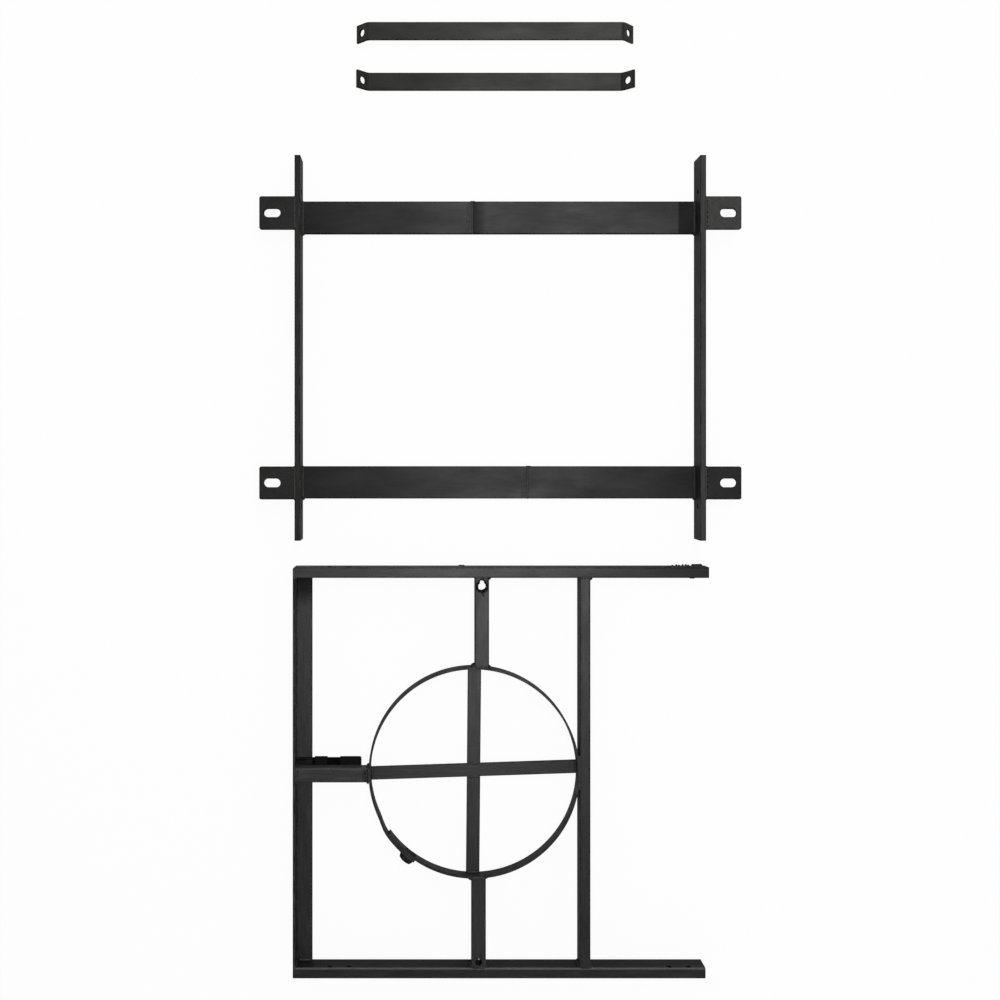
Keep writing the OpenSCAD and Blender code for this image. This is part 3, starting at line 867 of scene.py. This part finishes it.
def rail_lumps(w, front):
    """Lumps on the top rail: a hump and a row of lumps at its free end, and two short runs."""
    lo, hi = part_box("top_rail")
    z = lo.z + 3 * MM
    w.bead(
        (hi.x - 19 * MM, hi.y, z), (hi.x - 3 * MM, hi.y, z),
        Z * 2.4 * MM, Y * 2.4 * MM, half_turn=True, pitch=5 * MM, depth=0.2,
    )
    lump_z = lo.z + 2.4 * MM
    half_l = 1.6 * MM
    for back, size in ((23, 1.5), (26.4, 2.2), (31, 1.9), (36.2, 1.3), (40, 1.7), (45.5, 1.0)):
        x = hi.x - back * MM
        w.bead(
            (x - half_l, hi.y, lump_z), (x + half_l, hi.y, lump_z),
            Z * 2.0 * MM, Y * size * MM, half_turn=True,
        )
    w.bead(
        (hi.x - 27 * MM, lo.y, front - 3 * MM), (hi.x - 19 * MM, lo.y, front - 3 * MM),
        Z * 2 * MM, -Y * 1.1 * MM, half_turn=True, pitch=4 * MM,
    )
    tube_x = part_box("upper_tube")[0].x
    w.bead(
        (tube_x - 22 * MM, hi.y, z), (tube_x - 13 * MM, hi.y, z),
        Z * 2 * MM, Y * 1.2 * MM, half_turn=True, pitch=4 * MM,
    )


def hole_lips(w):
    """Raised lips and spatter round the holes in the upper and lower tube."""
    lip, lip_r = tube_lip("upper_tube")
    w.burr(lip, Z, lip_r + 2.0 * MM, 1.1 * MM, 0.6 * MM, gap=50)
    w.bead(
        lip + Vector((8.0, 9.5, 0)) * MM, lip + Vector((4.5, 7.0, 0)) * MM,
        X * 1.7 * MM, Z * 1.0 * MM, half_turn=True, depth=0.4,
    )
    clear = (lip, lip_r + 4 * MM)
    w.spatter(lip - Y * 2 * MM, X * 8 * MM, Y * 14 * MM, Z, 34, hole=clear)
    foot, foot_r = tube_lip("lower_tube")
    w.burr(foot, Z, foot_r + 0.3 * MM, 1.4 * MM, 0.5 * MM)
    clear = (foot, foot_r + 1 * MM)
    w.spatter(foot, X * 9 * MM, Y * 15 * MM, Z, 60, largest=1.0, hole=clear)


def guard_welds():
    """Every weld bead of the guard. The order of the calls fixes the order of random draws."""
    w = Welds(seed=23)
    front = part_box("top_rail")[1].z
    stile_welds(w, front)
    tube_welds(w, front)
    stub_welds(w, front)
    ring_welds(w, front)
    cross_welds(w)
    rail_end_welds(w)
    rail_lumps(w, front)
    hole_lips(w)
    w.finish("guard_weld_beads", "guard")


def ring_middle():
    """Middle of the ring on the floor, and the band's outer radius."""
    lo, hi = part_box("cross_strip_across")
    radius = (hi.x - lo.x) / 2 + BAND_T
    return point(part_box("right_stile")[0].x - radius, half(lo.y, hi.y), 0), radius


def strip_end(node, out, middle, radius):
    """Where the middle line of a cross strip meets the band, at floor height."""
    lo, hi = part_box(node)
    across = X if abs(out.y) > 0.5 else Y
    inside = radius - STRIP_INSET
    if node == "cross_strip_across":
        slope = (hi.y - lo.y - STRIP_W) / (hi.x - lo.x)
        out = Vector((out.x, out.x * slope, 0))
        return middle + out * inside
    lean = (lo + hi).dot(across) / 2 - middle.dot(across)
    return middle + across * lean * SHORT_STRIP_LEAN + out * inside


def mount(name):
    """Place and sizes of a mount that the record lists."""
    row = next(m for m in frame["record"]["mounts"] if m["name"] == name)
    return Vector(row["pos_m"]), row["dims"]


def tube_lip(tube):
    """Middle and radius of the screw hole in the front of the upper or lower tube."""
    place, dims = mount(tube + "_screw")
    return point(place.x, place.y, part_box(tube)[1].z), dims["r_mm"] * MM


def guard_soot_and_shade():
    """Black round the upper tube's hole, reaching into the hole as painted shade and burnt paint
    round it, with arms that run out from it, on both ends of the stub tube, and round the
    lower tube's hole."""
    w = Welds(seed=61)
    lip, lip_r = tube_lip("upper_tube")
    # Painted shade: this black lip reaches into the hole, standing for the shade inside the tube;
    # outside the hole it is burnt paint.
    w.burr(lip, Z, lip_r - 1.2 * MM, 3.2 * MM, 0.6 * MM, gap=60)
    for start, end, wide in (
        ((-7.8, 1.0), (-4.6, 9.4), 1.0), ((0.4, 11.0), (5.6, 5.2), 1.1),
        ((5.6, 5.2), (8.6, 3.6), 0.8), ((5.6, 9.6), (8.8, 6.4), 0.8),
        ((-2.6, -9.2), (2.6, -9.8), 1.4), ((0.5, -9.6), (2.8, -14.0), 1.3),
    ):
        w.bead(
            lip + Vector((*start, 0)) * MM, lip + Vector((*end, 0)) * MM,
            X * wide * MM, Z * 0.65 * MM, half_turn=True, depth=0.4,
        )
    lo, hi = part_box("stub_tube")
    middle_y = half(lo.y, hi.y)
    for back, start, stop in (
        (0.8, -9.4, -5.6), (1.6, -5.0, -1.2), (0.6, -0.4, 3.6), (1.4, 4.6, 9.4),
        (4.4, 1.5, 5.4), (4.0, -8.4, -5.2),
    ):
        w.bead(
            (hi.x - back * MM, middle_y + start * MM, hi.z),
            (hi.x - (back + 0.8) * MM, middle_y + stop * MM, hi.z),
            X * 1.0 * MM, Z * 1.15 * MM, half_turn=True, depth=0.4,
        )
    for x, spread, count in ((hi.x - 5 * MM, 5, 18), (lo.x + 3.5 * MM, 1.6, 9)):
        spot = point(x, middle_y, hi.z)
        w.spatter(spot, X * spread * MM, Y * 7.5 * MM, Z, count, largest=0.8)
    foot, foot_r = tube_lip("lower_tube")
    w.spatter(foot, X * 8 * MM, Y * 12 * MM, Z, 40, largest=0.9, hole=(foot, foot_r + 1 * MM))
    w.finish("guard_soot_and_shade", "guard", soot_and_shade)


def bright_specks():
    """Small bright specks round the holes in the two tubes."""
    w = Welds(seed=71)
    count = 16
    lip, lip_r = tube_lip("upper_tube")
    for turn in range(count):
        angle = math.radians(125 + 290 * turn / count)
        reach = lip_r + w.random.uniform(0.2, 1.4) * MM
        spot = lip + point(math.cos(angle), math.sin(angle), 0) * reach + Z * 0.35 * MM
        w.spatter(spot, X * 0.3 * MM, Y * 0.3 * MM, Z, 1, largest=0.5)
    foot, foot_r = tube_lip("lower_tube")
    spot = foot - Y * 2 * MM
    w.spatter(spot, X * 9 * MM, Y * 13 * MM, Z, 26, largest=0.65, hole=(foot, foot_r))
    w.finish("guard_bright_specks", "guard", bare)


def drill_burrs():
    """Lips left by the drill round the pin holes in both rails, black as painted shade that widens
    the dark of the holes.
    """
    w = Welds(seed=37)
    for rail in ("top_rail", "bottom_rail"):
        upper_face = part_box(rail)[1].y
        for hand in ("left", "right"):
            place, dims = mount(f"{rail}_pins_{hand}")
            pitch = dims["spacing_x_mm"] * MM
            for side in (-1, 1):
                spot = point(place.x + side * pitch / 2, upper_face, place.z)
                # Painted shade: the black lip starts inside the hole and widens its dark.
                w.burr(spot, Y, (dims["hole_r_mm"] - 0.3) * MM, 1.2 * MM, 0.3 * MM)
    w.finish("rail_hole_burrs", "guard", soot_and_shade)


def frame_undercuts():
    """Short dark gaps in the paint along the ears' welds, and round the posts' pin holes."""
    w = Welds(seed=53)
    shares = (0.07, 0.2, 0.36, 0.52, 0.7, 0.84)
    for side, hand in ((-1, "left"), (1, "right")):
        for row in ("upper", "lower"):
            lo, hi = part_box(f"ear_{row}_{hand}")
            x = lo.x + 1.5 * MM if side > 0 else hi.x - 1.7 * MM
            for share in shares:
                y = lo.y + (share + w.random.uniform(-0.02, 0.02)) * (hi.y - lo.y)
                dash = w.random.uniform(1.6, 3.6) * MM * (1.0 if side > 0 else 0.5)
                w.bead(
                    (x, y - dash / 2, hi.z), (x, y + dash / 2, hi.z),
                    X * (1.3 if side > 0 else 0.75) * MM, Z * 0.15 * MM, half_turn=True,
                )
        place, dims = mount("post_pins_" + hand)
        reach = dims["spacing_x_mm"] * MM / 2
        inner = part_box("post_" + hand)[1 if side < 0 else 0].x
        for y in (place.y - reach, place.y + reach):
            w.burr((inner, y, place.z), X * -side, 2.6 * MM, 1.6 * MM, 0.3 * MM)
    w.finish("frame_weld_undercuts", "mounting_frame", soot_and_shade)


frame_welds()
frame_undercuts()
guard_welds()
guard_soot_and_shade()
bright_specks()
drill_burrs()


# --------------------------------------------------------- floor and light


def add_floor():
    reach = 60.0
    below = 0.0006
    corners = [(-reach, -reach, 0), (reach, -reach, 0), (reach, reach, 0), (-reach, reach, 0)]
    mesh = bpy.data.meshes.new("floor")
    mesh.from_pydata(corners, [], [(0, 1, 2, 3)])
    mesh.materials.append(floor_material())
    floor = bpy.data.objects.new("floor", mesh)
    floor.location.z = cad_box[0].z - below
    scene.collection.objects.link(floor)


def add_soft_box(name, place, aim, width, height, power):
    """A soft rectangular light at a place, turned towards a point."""
    data = bpy.data.lights.new(name, "AREA")
    data.shape = "RECTANGLE"
    data.size = width
    data.size_y = height
    data.energy = power
    lamp = bpy.data.objects.new(name, data)
    lamp.location = place
    lamp.rotation_euler = (Vector(aim) - Vector(place)).to_track_quat("-Z", "Y").to_euler()
    scene.collection.objects.link(lamp)


def add_world():
    """Plain white to the camera. The object is lit by it brighter from the horizon."""
    low, high = 0.1, 0.6
    low_light, high_light = 0.8, 0.16
    camera_white = 0.97
    world = bpy.data.worlds.new("studio")
    world.use_nodes = True
    tree = world.node_tree
    direction = tree.nodes.new("ShaderNodeTexCoord").outputs["Generated"]
    split = tree.nodes.new("ShaderNodeSeparateXYZ")
    tree.links.new(direction, split.inputs[0])
    height = tree.nodes.new("ShaderNodeMapRange")
    tree.links.new(split.outputs["Z"], height.inputs["Value"])
    height.inputs["From Min"].default_value = low
    height.inputs["From Max"].default_value = high
    height.inputs["To Min"].default_value = low_light
    height.inputs["To Max"].default_value = high_light
    seen = tree.nodes.new("ShaderNodeLightPath").outputs["Is Camera Ray"]
    strength = tree.nodes.new("ShaderNodeMix")
    tree.links.new(seen, strength.inputs["Factor"])
    tree.links.new(height.outputs["Result"], strength.inputs["A"])
    strength.inputs["B"].default_value = camera_white
    background = tree.nodes["Background"]
    background.inputs["Color"].default_value = grey(1.0)
    tree.links.new(strength.outputs["Result"], background.inputs["Strength"])
    scene.world = world


def add_camera():
    camera_x = -0.1118
    camera_y = 0.0613
    camera_z = 1.668
    view_width = 1.4
    front_z = 0.030
    film = 36
    data = bpy.data.cameras.new("camera")
    data.sensor_width = film
    data.lens = film * (camera_z - front_z) / view_width
    data.shift_x = 0.08
    data.shift_y = -0.045
    data.clip_start = 0.05
    data.clip_end = 30
    camera = bpy.data.objects.new("camera", data)
    camera.location = (camera_x, camera_y, camera_z)
    scene.collection.objects.link(camera)
    scene.camera = camera


add_floor()
add_world()
add_soft_box(
    "key_light", place=(0.28, 0.6, 2.4), aim=(0.2801, 0.6001, 0), width=0.6, height=2.6, power=20,
)
add_camera()
scene.view_settings.view_transform = "Standard"
